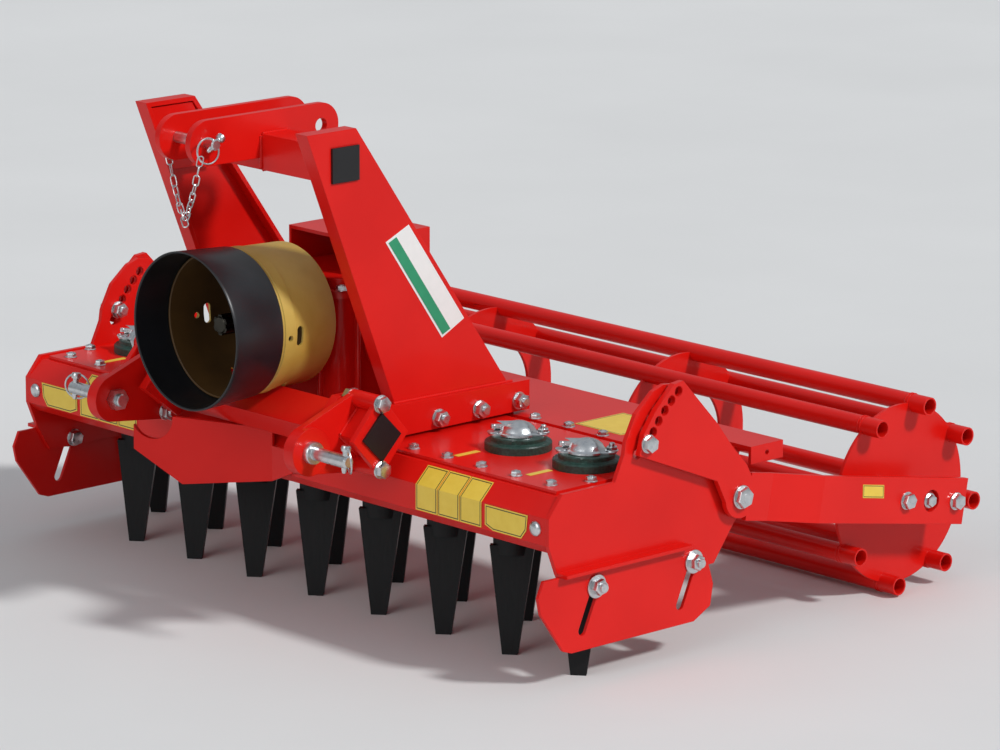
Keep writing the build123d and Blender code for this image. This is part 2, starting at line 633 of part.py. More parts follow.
# Roller arms: a locking sector, a pivot lug and a joggled bar
ARM_X = HALF + ARM_GAP
ARM_DROP = math.atan2(PIVOT_Z - ROLLER_Z, ROLLER_Y - PIVOT_Y)
ARM_LENGTH = math.hypot(PIVOT_Z - ROLLER_Z, ROLLER_Y - PIVOT_Y)


def arm():
    edge = ARC_R + 2 * ARC_HOLE_R
    sector = [polar(edge - 8, ARC_START - 5.5), polar(edge, ARC_START + 2),
              polar(edge, (ARC_START + ARC_END) / 2), polar(edge, ARC_END),
              polar(edge - 10, ARC_END + 4), (PIVOT_Y - 57, PIVOT_Z + 133),
              (PIVOT_Y - 22, PIVOT_Z + 89), (PIVOT_Y + 12, PIVOT_Z + 53),
              (PIVOT_Y + 32, PIVOT_Z + 16), (PIVOT_Y + 8, PIVOT_Z - 30),
              (PIVOT_Y - 26, PIVOT_Z - 22), (PIVOT_Y - 56, PIVOT_Z + 36)]
    plate = side_plate(sector, ARM_X, ARM_T)
    plate += rod_x(ARM_X, ARM_X + ARM_T, PIVOT_Y, PIVOT_Z, ARM_LUG_R)
    out = ARM_X + ARM_JOG
    end = ARM_LENGTH + BEARING_BOLT + 24
    root = ARM_LUG_R / 2
    plan = [(ARM_X, root), (ARM_X + ARM_T, root), (ARM_X + ARM_T, ARM_JOG_FROM), (out + ARM_T, ARM_JOG_TO),
            (out + ARM_T, end), (out, end), (out, ARM_JOG_TO + 2), (ARM_X, ARM_JOG_FROM + 2)]
    bar = extrude(make_face(Polyline(*plan, close=True)), ARM_H / 2, both=True)
    along = Pos(0, PIVOT_Y, PIVOT_Z) * Rot(-math.degrees(ARM_DROP), 0, 0)
    plate += along * bar
    for hole in arc_holes(ARM_X, ARM_T, ARC_START):
        plate -= hole
    plate -= rod_x(ARM_X - 1, ARM_X + ARM_T + 1, PIVOT_Y, PIVOT_Z, PIVOT_R + FIT)
    for step in (-BEARING_BOLT, 0, BEARING_BOLT):
        radius = SHAFT_HOLE_R if step == 0 else FOOT_BOLT_R
        plate -= along * rod_x(out - 1, out + ARM_T + 1, ARM_LENGTH + step, 0, radius)
    return plate


right, left = both_sides(arm())
save("roller_arm_right", right)
save("roller_arm_left", left)

pivot = rod_x(INNER - 16, ARM_X + ARM_T + FIT, PIVOT_Y, PIVOT_Z, PIVOT_R)
pivot += rod_x(HALF, ARM_X - FIT, PIVOT_Y, PIVOT_Z, PIVOT_COLLAR_R)
head_x = ARM_X + ARM_T + FIT
pivot += rod_x(head_x, head_x + PIVOT_HEAD_T, PIVOT_Y, PIVOT_Z, PIVOT_HEAD_R)
pivot += rod_x(INNER - 16, INNER, PIVOT_Y, PIVOT_Z, PIVOT_HEAD_R)
save("arm_pivots", pair(pivot))


# Flange bearings on the inner face of each arm
def roller_bearing():
    face_x = ARM_X + ARM_JOG
    along = Pos(0, PIVOT_Y, PIVOT_Z) * Rot(-math.degrees(ARM_DROP), 0, 0)
    flange = extrude(Plane.YZ * SlotOverall(2 * (BEARING_BOLT + 18), 2 * BEARING_BODY_R), BEARING_FLANGE_T)
    housing = Pos(face_x - BEARING_FLANGE_T, ARM_LENGTH, 0) * flange
    housing += rod_x(face_x - BEARING_FLANGE_T - BEARING_BODY_T, face_x, ARM_LENGTH, 0, BEARING_BODY_R - 4)
    housing -= rod_x(face_x - 99, face_x + 1, ARM_LENGTH, 0, STUB_R + FIT)
    for step in (-BEARING_BOLT, BEARING_BOLT):
        housing -= rod_x(face_x - 99, face_x + 1, ARM_LENGTH + step, 0, FOOT_BOLT_R)
    return along * housing


save("roller_bearings", pair(roller_bearing()))


# Cage roller: two solid end discs, two open rings and tube bars in their rims
def roller():
    disc = extrude(Plane.YZ * Circle(BAR_CIRCLE_R), DISC_T)
    drum = Pos(DISC_X - DISC_T, 0, 0) * disc
    drum += Pos(-DISC_X, 0, 0) * disc
    ring = extrude(Plane.YZ * (Circle(BAR_CIRCLE_R) - Circle(RING_INNER)), DISC_T / 2, both=True)
    for place in RING_PLACES:
        drum += Pos(place * HALF, 0, 0) * ring
    stub = rod_x(DISC_X, ARM_X + ARM_JOG + 4, 0, 0, STUB_R)
    drum += stub
    drum += mirror(stub, Plane.YZ)
    centres = [(BAR_CIRCLE_R * math.cos(a), BAR_CIRCLE_R * math.sin(a)) for a in BAR_ANGLES]
    for y, z in centres:
        drum += rod_x(-BAR_END_X, BAR_END_X, y, z, BAR_R)
    for y, z in centres:
        drum -= rod_x(-BAR_END_X - 1, BAR_END_X + 1, y, z, BAR_R - BAR_WALL)
    return Pos(0, ROLLER_Y, ROLLER_Z) * drum


save("roller", roller())
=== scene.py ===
# %% [markdown]
# # A small power harrow, finished over its CAD model
# The machine is a welded steel frame in glossy red enamel: a long gear trough, a
# three-point mast, eight rotors with knife tines, and a cage roller on two arms.
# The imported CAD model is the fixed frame. It already has the plates, tubes and
# bodies, so this lesson adds what a fitter adds: paint, castings, bolts, welds,
# pins, the plastic guard and the blank plates.

# %% Load the frame
import math

import bmesh
import bpy
from mathutils import Matrix, Vector


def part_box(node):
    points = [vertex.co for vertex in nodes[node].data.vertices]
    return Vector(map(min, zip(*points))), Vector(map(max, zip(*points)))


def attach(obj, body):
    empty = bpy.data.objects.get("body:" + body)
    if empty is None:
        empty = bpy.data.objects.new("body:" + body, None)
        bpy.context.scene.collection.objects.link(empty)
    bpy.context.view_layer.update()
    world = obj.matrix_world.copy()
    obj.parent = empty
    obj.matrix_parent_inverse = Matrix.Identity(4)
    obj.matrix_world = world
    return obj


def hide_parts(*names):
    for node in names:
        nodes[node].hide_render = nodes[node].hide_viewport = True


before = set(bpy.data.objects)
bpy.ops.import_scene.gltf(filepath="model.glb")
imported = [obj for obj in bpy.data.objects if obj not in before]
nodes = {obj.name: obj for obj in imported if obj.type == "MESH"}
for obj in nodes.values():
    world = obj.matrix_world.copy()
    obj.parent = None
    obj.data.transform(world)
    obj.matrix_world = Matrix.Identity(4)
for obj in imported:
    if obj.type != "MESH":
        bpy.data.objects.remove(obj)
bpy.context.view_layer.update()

scene = bpy.context.scene

# %% [markdown]
# ## One ruler
# The machine was measured in millimetres from the line of its rotor shafts. The
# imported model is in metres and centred, so every place below could be typed in
# metres, or measured in one go from the model. One small function does the second:
# it takes millimetres from the rotor line and gives a point in the frame.

# %% From millimetres to the frame
housing_low, housing_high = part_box("rotor_housings")
ROTOR_LINE = (housing_low.y + housing_high.y) / 2
MM = 0.001


def at(x, y, z):
    """A point in millimetres, with y counted from the rotor line."""
    return Vector((x * MM, ROTOR_LINE + y * MM, z * MM))


print("rotor line at y", round(ROTOR_LINE, 4))

# %% [markdown]
# ## The camera
# The photograph was taken from the machine's near front corner, from far away with
# a long lens, so the lines hardly converge. A camera can be aimed at a target or
# set by its bearing and height. The bearing, height and lens were fitted to corners
# that are easy to find, so they are set as numbers.

# %% Camera
camera = bpy.data.objects.new("camera", bpy.data.cameras.new("camera"))
scene.collection.objects.link(camera)
camera.location = (6.234, -5.7042, 2.315)
bearing, height, roll = (math.radians(a) for a in (46.92, 13.14, -0.16))
forward = Vector((-math.sin(bearing) * math.cos(height),
                  math.cos(bearing) * math.cos(height), -math.sin(height)))
camera.rotation_mode = "QUATERNION"
camera.rotation_quaternion = (Matrix.Rotation(roll, 3, forward)
                              @ forward.to_track_quat("-Z", "Y").to_matrix()).to_quaternion()
camera.data.lens = 180.25
camera.data.sensor_width = 36.0
camera.data.shift_x = -0.006
camera.data.shift_y = -0.001
scene.camera = camera
print("camera looks along", tuple(round(v, 3) for v in forward))

# %% [markdown]
# ## Adding nodes
# A material is a small network. Writing each node out takes four or five lines, so
# one function adds a node, sets it and links it. Colours are given as sRGB
# hex values, and one more function turns them into the linear values of the shader.
# All finishes here share one recipe: a noise pattern of a size in millimetres, two
# colours along it, and a bump. So each of those steps has a function too.

# %% Node and colour helpers
def add(tree, kind, inputs=None, **settings):
    """Adds a node: settings are its own properties, inputs are values or links by socket."""
    made = tree.nodes.new(kind)
    for name, value in settings.items():
        setattr(made, name, value)
    for name, value in (inputs or {}).items():
        if isinstance(value, bpy.types.NodeSocket):
            tree.links.new(value, made.inputs[name])
        else:
            made.inputs[name].default_value = value
    return made


def linear(hex_colour):
    """An sRGB hex colour as linear RGBA."""
    parts = [int(hex_colour[i:i + 2], 16) / 255 for i in (1, 3, 5)]
    return [*(c / 12.92 if c <= 0.04045 else ((c + 0.055) / 1.055) ** 2.4 for c in parts), 1.0]


def finish_material(name):
    """A new material: its tree, its surface shader and its Object coordinates."""
    material = bpy.data.materials.new(name)
    material.use_nodes = True
    tree = material.node_tree
    surface = tree.nodes["Principled BSDF"]
    return material, tree, surface, add(tree, "ShaderNodeTexCoord").outputs["Object"]


print("mid grey in linear light:", [round(c, 3) for c in linear("#808080")])

# %% Steps that every finish shares
def noise(tree, place, size, detail=2.0):
    """A noise pattern with clouds of a size in millimetres."""
    return add(tree, "ShaderNodeTexNoise", {"Vector": place, "Scale": 1 / (size * MM),
                                            "Detail": detail}).outputs["Fac"]


def toned(tree, surface, pattern, dark, light, low=0.0, high=1.0):
    """Colours the surface from dark to light along a pattern."""
    tone = add(tree, "ShaderNodeValToRGB", {"Fac": pattern})
    for stop, position, colour in zip(tone.color_ramp.elements, (low, high), (dark, light)):
        stop.position = position
        stop.color = linear(colour)
    tree.links.new(tone.outputs["Color"], surface.inputs["Base Color"])


def bumped(tree, surface, height, strength, depth=1.0, **more):
    """Raises the surface along a pattern by up to a depth in millimetres."""
    bump = add(tree, "ShaderNodeBump", {"Height": height, "Strength": strength,
                                        "Distance": depth * MM, **more})
    tree.links.new(bump.outputs["Normal"], surface.inputs["Normal"])


def set_surface(surface, values):
    """Sets inputs of the surface shader by name."""
    for name, value in values.items():
        surface.inputs[name].default_value = value


print("steps: noise, toned, bumped, set_surface")

# %% [markdown]
# ## Floor and light
# The machine stands on pale concrete in the sun. A plain floor and a soft studio
# light suit a part that others will use. The main lamp stands where the sun stood,
# to the right, high and a little behind, and is wide, so shadows are soft. The world
# gives an even fill and a sky that is paler above, which bright metal needs to show.

# %% Floor
floor_mesh = bmesh.new()
bmesh.ops.create_grid(floor_mesh, x_segments=8, y_segments=8, size=25.0)
floor_data = bpy.data.meshes.new("floor")
floor_mesh.to_mesh(floor_data)
floor_mesh.free()
floor = bpy.data.objects.new("floor", floor_data)
scene.collection.objects.link(floor)
concrete, tree, surface, place = finish_material("floated_pale_concrete")
clouds = add(tree, "ShaderNodeTexNoise", {"Vector": place, "Scale": 1.3, "Detail": 5.0})
toned(tree, surface, clouds.outputs["Fac"], "#D2D2D1", "#DDDDDC")
set_surface(surface, {"Roughness": 0.85})
floor_data.materials.append(concrete)
print("floor at z 0, 50 m square")

# %% Lamps and world
scene.view_settings.view_transform = "Standard"
world = bpy.data.worlds.new("studio")
scene.world = world
world.use_nodes = True
tree = world.node_tree
sky = add(tree, "ShaderNodeSeparateXYZ",
          {"Vector": add(tree, "ShaderNodeTexCoord").outputs["Generated"]})
fade = add(tree, "ShaderNodeValToRGB", {"Fac": sky.outputs["Z"]})
fade.color_ramp.elements[0].color = linear("#B4B6B8")
fade.color_ramp.elements[1].color = linear("#E4EAF2")
fade.color_ramp.elements[1].position = 0.7
tree.links.new(fade.outputs["Color"], tree.nodes["Background"].inputs["Color"])
tree.nodes["Background"].inputs["Strength"].default_value = 0.52


def soft_sun(name, direction, strength, softness):
    """A distant lamp that shines from a direction, with shadows that are soft over an angle."""
    lamp = bpy.data.objects.new(name, bpy.data.lights.new(name, "SUN"))
    scene.collection.objects.link(lamp)
    lamp.rotation_mode = "QUATERNION"
    lamp.rotation_quaternion = (-Vector(direction)).to_track_quat("-Z", "Y")
    lamp.data.energy = strength
    lamp.data.angle = math.radians(softness)


soft_sun("sun_side", (0.78, 0.22, 0.72), 2.25, 7.0)
soft_sun("front_fill", (0.1, -1.0, 0.5), 0.75, 40.0)

# %% [markdown]
# ## Red enamel
# The steel is sprayed with a synthetic enamel and stoved. It gives the eye a deep,
# slightly orange red, a clear gloss, and a fine orange peel where the spray did not
# flow out flat. Real peel is 2 to 3 mm across, too fine for this view, so it is drawn
# at 7 mm. The paint also pools a little darker here and there, over about 200 mm.
# Pressed and sheared edges are never sharp under paint, so a Bevel node rounds the
# normal by 1.5 mm along every edge without touching the CAD mesh.

# %% Red enamel
PEEL = 7
POOL = 200
red_enamel, tree, surface, place = finish_material("sprayed_red_enamel")
toned(tree, surface, noise(tree, place, POOL, 3.0), "#CF120C", "#DC1912", 0.3, 0.7)
edge = add(tree, "ShaderNodeBevel", {"Radius": 1.5 * MM}, samples=4)
bumped(tree, surface, noise(tree, place, PEEL), 0.12, Normal=edge.outputs["Normal"])
set_surface(surface, {"Roughness": 0.3, "IOR": 1.5, "Specular IOR Level": 0.2,
                      "Coat Weight": 0.1, "Coat Roughness": 0.08})
print("enamel: peel", PEEL, "mm, pool", POOL, "mm")

# %% [markdown]
# ## Bright zinc
# Bolts, washers, pins and chain are steel with bright zinc plating. It is a mirror
# that has gone a little soft: light grey, faintly blue, cloudy over 9 mm patches
# where the bath left it, with roughness that changes in the same patches.

# %% Bright zinc
bright_zinc, tree, surface, place = finish_material("bright_zinc_plating")
patch = noise(tree, place, 9)
toned(tree, surface, patch, "#C6CACD", "#DCDEDF", 0.3, 0.7)
gloss = add(tree, "ShaderNodeMapRange", {"Value": patch, "To Min": 0.24, "To Max": 0.34})
tree.links.new(gloss.outputs["Result"], surface.inputs["Roughness"])
set_surface(surface, {"Metallic": 1.0})
print("zinc:", bright_zinc.name)

# %% [markdown]
# ## Moulded plastics
# The guard's outer sleeve is black polypropylene and the tube inside it is dull
# mustard polyethylene. The tube's inside and its end faces are coloured dark brown
# as painted shade. Both come from a fine sparked mould: satin, with a grain of about
# 1 mm that is drawn at 3 mm here. The square tube plugs are black nylon. The four
# differ in colour and sheen only, so one function makes them all.

# %% Black and mustard plastic
GRAIN = 3
DRIFT = 80


def moulded(name, dark, light, roughness):
    """A satin moulding whose colour drifts a little along it."""
    material, tree, surface, place = finish_material(name)
    toned(tree, surface, noise(tree, place, DRIFT, 4.0), dark, light, 0.3, 0.7)
    bumped(tree, surface, noise(tree, place, GRAIN), 0.15, 0.3)
    set_surface(surface, {"Roughness": roughness, "IOR": 1.49})
    return material


black_moulding = moulded("satin_black_polypropylene", "#121316", "#1B1C20", 0.36)
mustard_moulding = moulded("dull_mustard_polyethylene", "#B8963C", "#C8AA54", 0.5)
# Painted shade: a dark brown for the inside and end faces of the guard tube, where shade falls.
shaded_moulding = moulded("painted_shade_brown_polyethylene", "#3E290D", "#573B15", 0.6)
plug_nylon = moulded("black_nylon_plug", "#0A0A0C", "#121316", 0.4)
plastics = (black_moulding, mustard_moulding, shaded_moulding, plug_nylon)
print("plastics:", [material.name for material in plastics])

# %% [markdown]
# ## Castings, tines and bare steel
# The bearing bases are sand-cast iron, painted a dark green: the sand leaves a
# pebbled skin of 2 to 4 mm under the paint. The gearbox is cast too, in the red of
# the frame. The tines are forged steel dipped in black paint, which runs a little
# downwards, so their pattern is stretched in height. The drive shaft is machined and
# oiled, with fine turning marks round it.

# %% Green castings
green_casting, tree, surface, place = finish_material("green_painted_sand_casting")
sand = noise(tree, place, 4, 4.0)
toned(tree, surface, sand, "#142C26", "#25463C", 0.35, 0.7)
bumped(tree, surface, sand, 0.45)
set_surface(surface, {"Roughness": 0.42})
print("castings:", green_casting.name)

# %% Red castings
red_casting, tree, surface, place = finish_material("red_enamel_on_casting")
sand = noise(tree, place, 5, 4.0)
toned(tree, surface, sand, "#C8110B", "#DA1A13")
bumped(tree, surface, sand, 0.4)
set_surface(surface, {"Roughness": 0.34, "Coat Weight": 0.25, "Coat Roughness": 0.15})
print("castings:", red_casting.name)

# %% Black tines
tine_paint, tree, surface, place = finish_material("dipped_black_paint_on_forging")
runs = add(tree, "ShaderNodeMapping", {"Vector": place, "Scale": (1.0, 1.0, 0.15)})
skin = noise(tree, runs.outputs["Vector"], 5, 4.0)
toned(tree, surface, skin, "#070708", "#131416")
bumped(tree, surface, skin, 0.3)
set_surface(surface, {"Roughness": 0.45, "Specular IOR Level": 0.25})
print("tines:", tine_paint.name)

# %% Oiled steel
oiled_steel, tree, surface, place = finish_material("oiled_machined_steel")
lathe = add(tree, "ShaderNodeMapping", {"Vector": place, "Scale": (0.05, 1.0, 0.05)})
toned(tree, surface, noise(tree, lathe.outputs["Vector"], 2), "#2B2925", "#4A4740")
set_surface(surface, {"Metallic": 1.0, "Roughness": 0.3})
print("shaft:", oiled_steel.name)

# %% [markdown]
# ## Blank plates
# The real machine carries printed plates. Here they stay blank: vinyl film in a
# greenish yellow with a dark border line, and one in white with a green band,
# because where they sit and how they wrap the folds is part of the look. Vinyl has a
# soft sheen and a slight ripple of about 15 mm where it was smoothed down by hand.

# %% Vinyl films
def vinyl(name, dark, light):
    """A film with a soft sheen and a faint ripple."""
    material, tree, surface, place = finish_material(name)
    ripple = noise(tree, place, 15)
    toned(tree, surface, ripple, dark, light)
    bumped(tree, surface, ripple, 0.2, 0.5)
    set_surface(surface, {"Roughness": 0.35})
    return material


yellow_film = vinyl("greenish_yellow_vinyl", "#DDBA3A", "#EACB50")
white_film = vinyl("white_vinyl", "#E2E4E2", "#EDEEEC")
green_film = vinyl("green_vinyl", "#1F8A60", "#2B9A6E")
dark_line_film = vinyl("black_vinyl_line", "#1B1B16", "#26251E")
films = (yellow_film, white_film, green_film, dark_line_film)
print("films:", [material.name for material in films])

# %% [markdown]
# ## Paint the CAD nodes
# Each CAD node has one finish. It could be set node by node, 43 times. The finish is
# looked up by the name of the record's slot instead, so the list below only has to
# say which nodes are neither red nor a rotor.

# %% Which node has which finish
FINISH = {"red_enamel": red_enamel, "zinc_plating": bright_zinc, "black_plastic": plug_nylon,
          "black_tine_paint": tine_paint, "yellow_plastic": mustard_moulding,
          "green_casting_paint": green_casting, "machined_steel": oiled_steel}
NOT_RED = {"bearing_bases": "green_casting_paint", "bearing_caps": "zinc_plating",
           "tube_plugs": "black_plastic", "top_link_pin": "zinc_plating",
           "lower_pin_right": "zinc_plating", "lower_pin_left": "zinc_plating",
           "pto_shield_rear": "yellow_plastic", "pto_shield_back": "yellow_plastic",
           "pto_shield_front": "black_plastic",
           "pto_shaft": "machined_steel", "arm_pivots": "zinc_plating"}
for name, node in nodes.items():
    is_rotor = name.startswith("rotor_") and name[-1].isdigit()
    slot = "black_tine_paint" if is_rotor else NOT_RED.get(name, "red_enamel")
    node.data.materials.clear()
    node.data.materials.append(FINISH[slot])
print("painted", len(nodes), "nodes")

# %% [markdown]
# ## Turning, stamping, finishing
# Most small hardware is round or six-sided. A lathe profile spun about Z gives
# washers, domes and pins. Each kind of bolt is made once, standing on its washer at
# the origin, and then stamped wherever the machine has one, which keeps them alike
# and the script short. Finishing turns a bmesh into a piece that rides on a body.

# %% Mesh helpers
def turned(bm, profile, steps=32, closed=False):
    """Spins a profile of (radius, height) in millimetres about Z."""
    verts = [bm.verts.new((r * MM, 0, z * MM)) for r, z in profile]
    loop = [*verts, verts[0]] if closed else verts
    edges = [bm.edges.new(pair) for pair in zip(loop, loop[1:])]
    bmesh.ops.spin(bm, geom=verts + edges, cent=(0, 0, 0), axis=(0, 0, 1),
                   angle=math.tau, steps=steps, use_merge=True)
    bmesh.ops.remove_doubles(bm, verts=bm.verts, dist=1e-6)


def prism(bm, flats, low, high, chamfer):
    """A hexagon bar across flats, its top edges rounded, in millimetres."""
    radius = flats / 2 / math.cos(math.pi / 6) * MM
    made = bmesh.ops.create_cone(bm, cap_ends=True, segments=6, radius1=radius, radius2=radius,
                                 depth=(high - low) * MM,
                                 matrix=Matrix.Translation((0, 0, (low + high) / 2 * MM)))
    top = [e for v in made["verts"] for e in v.link_edges
           if all(abs(w.co.z - high * MM) < 1e-6 for w in e.verts)]
    bmesh.ops.bevel(bm, geom=list(set(top)), offset=chamfer * MM, segments=2, profile=0.5,
                    affect="EDGES", material=-1)


def stamp(bm, mesh, matrix):
    """Adds a copy of a template mesh, moved by the matrix."""
    first = len(bm.verts)
    bm.from_mesh(mesh)
    bm.verts.ensure_lookup_table()
    bmesh.ops.transform(bm, matrix=matrix, verts=bm.verts[first:])


def facing(point, direction, turn=0.0):
    """Stands a template on a point, its own Z along the direction."""
    turn_first = Matrix.Rotation(math.radians(turn), 4, "Z")
    aim = Vector((0, 0, 1)).rotation_difference(Vector(direction)).to_matrix().to_4x4()
    return Matrix.Translation(point) @ aim @ turn_first


def sideways(side):
    """Turns a lathe part's own height along X, outwards on its side of the machine."""
    return Matrix.Rotation(math.radians(90 * side), 4, "Y")


def template(name, bm):
    """Keeps a bmesh as a mesh to stamp from."""
    bmesh.ops.recalc_face_normals(bm, faces=bm.faces)
    mesh = bpy.data.meshes.new(name)
    bm.to_mesh(mesh)
    bm.free()
    return mesh


def new_verts(made):
    """The vertices among what an operator made."""
    return [g for g in made["geom"] if isinstance(g, bmesh.types.BMVert)]


def finish(name, bm, body, slot, *materials, sharp=35.0, recalc=True):
    """Makes the bmesh a piece of the machine that rides on a body."""
    if recalc:
        bmesh.ops.recalc_face_normals(bm, faces=bm.faces)
    mesh = bpy.data.meshes.new(name)
    bm.to_mesh(mesh)
    bm.free()
    for material in materials:
        mesh.materials.append(material)
    mesh.shade_smooth()
    mesh.set_sharp_from_angle(angle=math.radians(sharp))
    piece = bpy.data.objects.new(name, mesh)
    scene.collection.objects.link(piece)
    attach(piece, body)
    print(f"{name}: {len(mesh.polygons)} faces on {body}")
    return piece


# %% [markdown]
# ## Fasteners
# Five kinds cover the machine: small flanged bolts that hold the cover, M16 bolts
# with a washer, the same with a nut and a thread end on the far side, a wide washer
# for the deflector slots, and low domed heads on the trough's front.

# %% Bolt templates
bm = bmesh.new()
turned(bm, [(0, 0), (10.5, 0), (10.5, 1.2), (9.5, 2.2), (0, 2.2)])
prism(bm, 16, 1.5, 8.2, 1.6)
turned(bm, [(0, 7.8), (4.2, 7.8), (4.2, 8.9), (3.2, 9.6), (0, 9.6)], 16)
flanged_nut = template("flanged_nut", bm)

bm = bmesh.new()
turned(bm, [(0, 0), (15.5, 0), (15.5, 1.6), (14.8, 2.4), (0, 2.4)])
prism(bm, 24, 2.2, 12.4, 2.0)
hex_bolt = template("hex_bolt", bm)

bm = bmesh.new()
turned(bm, [(0, 0), (15.5, 0), (15.5, 1.6), (14.8, 2.4), (0, 2.4)])
prism(bm, 24, 2.2, 15.5, 2.0)
turned(bm, [(0, 15), (7.6, 15), (7.6, 18.6), (6.4, 20), (0, 20)], 24)
nut_end = template("nut_end", bm)

bm = bmesh.new()
turned(bm, [(0, 0), (20, 0), (20, 2.4), (19, 3.4), (0, 3.4)], 40)
prism(bm, 24, 3.2, 15, 2.0)
turned(bm, [(0, 14.5), (8, 14.5), (8, 20), (7, 21.4), (0, 21.4)], 24)
wide_bolt = template("wide_bolt", bm)

bm = bmesh.new()
turned(bm, [(0, 0), (12.5, 0), (12.5, 1.4), (11.6, 3.2), (8.6, 5.0), (4.5, 6.0), (0, 6.3)])
dome_bolt = template("dome_bolt", bm)
print("five fasteners")

# %% [markdown]
# ## Where the bolts sit
# The cover's bolts stand on an even pitch along both edges. Each mast foot is held
# by three bolts through its angle, with the nut outside, and each deflector by two
# through its slots. All were placed on the holes and edges of the CAD, and each is
# turned a little, since no fitter lines up the heads.

# %% Cover bolts
UP = (0, 0, 1)
COVER_TOP = 322
HOLE_PITCH = 82
FRONT_ROW, REAR_ROW = -128, 164
bm = bmesh.new()
for side in (-1, 1):
    for i in range(5):
        step = HOLE_PITCH * i
        stamp(bm, flanged_nut, facing(at(side * (290 + step), FRONT_ROW, COVER_TOP), UP, 17 * i))
        if i < 4:
            stamp(bm, flanged_nut, facing(at(side * (272 + step), REAR_ROW, COVER_TOP), UP, 11 * i))
    for y in (-64, 34):
        stamp(bm, flanged_nut, facing(at(side * 644, y, COVER_TOP), UP, 8))
for x in (-180.6, -120.4, 120.4, 180.6):
    stamp(bm, flanged_nut, facing(at(x, FRONT_ROW, COVER_TOP), UP, 25))
finish("cover_bolts", bm, "frame", "zinc_plating", bright_zinc)

# %% Mast foot bolts
FOOT_OUT, FOOT_IN, FOOT_BOLT_Z = 229, 201, 345
bm = bmesh.new()
for side in (-1, 1):
    for y, turn in ((-17, 5), (75, 20), (166, 40)):
        stamp(bm, nut_end, facing(at(side * FOOT_OUT, y, FOOT_BOLT_Z), (side, 0, 0), turn))
        stamp(bm, hex_bolt, facing(at(side * FOOT_IN, y, FOOT_BOLT_Z), (-side, 0, 0), turn))
finish("mast_foot_bolts", bm, "frame", "zinc_plating", bright_zinc)

# %% Front and deflector bolts
END_PLATE_INSIDE = 667
DEFLECTOR_FACE, DEFLECTOR_BOLT_Z = 681, 160
bm = bmesh.new()
for side in (-1, 1):
    stamp(bm, dome_bolt, facing(at(side * 645, -187, 266), (0, -1, 0)))
    for y, turn in ((-87, 12), (134, 33)):
        outer = at(side * DEFLECTOR_FACE, y, DEFLECTOR_BOLT_Z)
        inner = at(side * END_PLATE_INSIDE, y, DEFLECTOR_BOLT_Z)
        stamp(bm, wide_bolt, facing(outer, (side, 0, 0), turn))
        stamp(bm, hex_bolt, facing(inner, (-side, 0, 0), turn))
finish("deflector_bolts", bm, "frame", "zinc_plating", bright_zinc)

# %% [markdown]
# ## Clamp bolts on the lower brackets
# Each bracket is drawn together round the turned tube by two long bolts in red
# sleeves. The sleeves are CAD, so only the heads outside and the nuts inside are
# added, on the same centres.

# %% Clamp bolts
FRONT_TUBE = (-218, 360)
CLAMP_REACH = 55
bm = bmesh.new()
for side in (-1, 1):
    for step, turn in ((CLAMP_REACH, 10), (-CLAMP_REACH, 28)):
        y, z = FRONT_TUBE[0], FRONT_TUBE[1] + step
        stamp(bm, hex_bolt, facing(at(side * 310, y, z), (side, 0, 0), turn))
        stamp(bm, nut_end, facing(at(side * 243, y, z), (-side, 0, 0), turn))
finish("clamp_bolts", bm, "frame", "zinc_plating", bright_zinc)

# %% [markdown]
# ## Bearing houses on the cover
# Four upper bearings show beside the mast. Each has a cast green base with a rim
# that is notched where the clamping ears were left off, and a pressed, plated cap:
# a dome on a two-eared strap, held by two bolts. The base is turned on the lathe
# and its notches are cut by pushing vertices in; the cap is a lathe dome joined to
# a flat strap made of a stretched disc.

# %% Cast bases
BASE_HEIGHT = 24
BEARINGS = (-567, -405, 405, 567)
bm = bmesh.new()
turned(bm, [(0, 0), (56, 0), (56, 12), (54.5, 14), (49, 14.8), (47, 16.5), (47, 22.6),
            (45.6, BASE_HEIGHT), (0, BASE_HEIGHT)], 64)
for vert in bm.verts:
    angle = math.degrees(math.atan2(vert.co.y, vert.co.x)) % 90
    if vert.co.z > 13 * MM and abs(angle - 45) < 9 and vert.co.xy.length > 44 * MM:
        vert.co.xy *= 0.92
base_casting = template("base_casting", bm)
bm = bmesh.new()
for x in BEARINGS:
    stamp(bm, base_casting, Matrix.Translation(at(x, 0, COVER_TOP)))
bases = finish("bearing_castings", bm, "frame", "green_casting_paint", green_casting)
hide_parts("bearing_bases")

# %% Pressed caps
EAR_STRETCH = 33
CAP_BOLT_REACH = 41
bolt = bmesh.new()
prism(bolt, 17, 3.2, 10.5, 1.4)
turned(bolt, [(0, 10), (5, 10), (5, 15), (4, 16.4), (0, 16.4)], 20)
turned(bolt, [(0, 3.0), (11, 3.0), (11, 4.4), (10, 5.2), (0, 5.2)], 24)
cap_bolt = template("cap_bolt", bolt)

bm = bmesh.new()
turned(bm, [(0, 0), (17, 0), (17, 2.6), (16, 3.4), (0, 3.4)], 48)
for vert in bm.verts:
    if abs(vert.co.x) > 2 * MM:
        vert.co.x += math.copysign(EAR_STRETCH * MM, vert.co.x)
turned(bm, [(32.5, 0), (34, 1), (33.6, 4.0), (31, 5.2), (29.2, 7.6), (26.5, 13.0),
            (21, 17.8), (13, 21.2), (6, 22.6), (0, 23)], 48)
for side in (-1, 1):
    stamp(bm, cap_bolt, Matrix.Translation((side * CAP_BOLT_REACH * MM, 0, 0)))
pressed_cap = template("pressed_cap", bm)
bm = bmesh.new()
for x, turn in zip(BEARINGS, (38, 52, 45, 41)):
    stamp(bm, pressed_cap, facing(at(x, 0, COVER_TOP + BASE_HEIGHT), UP, turn))
caps = finish("pressed_bearing_caps", bm, "frame", "zinc_plating", bright_zinc)
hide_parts("bearing_caps")

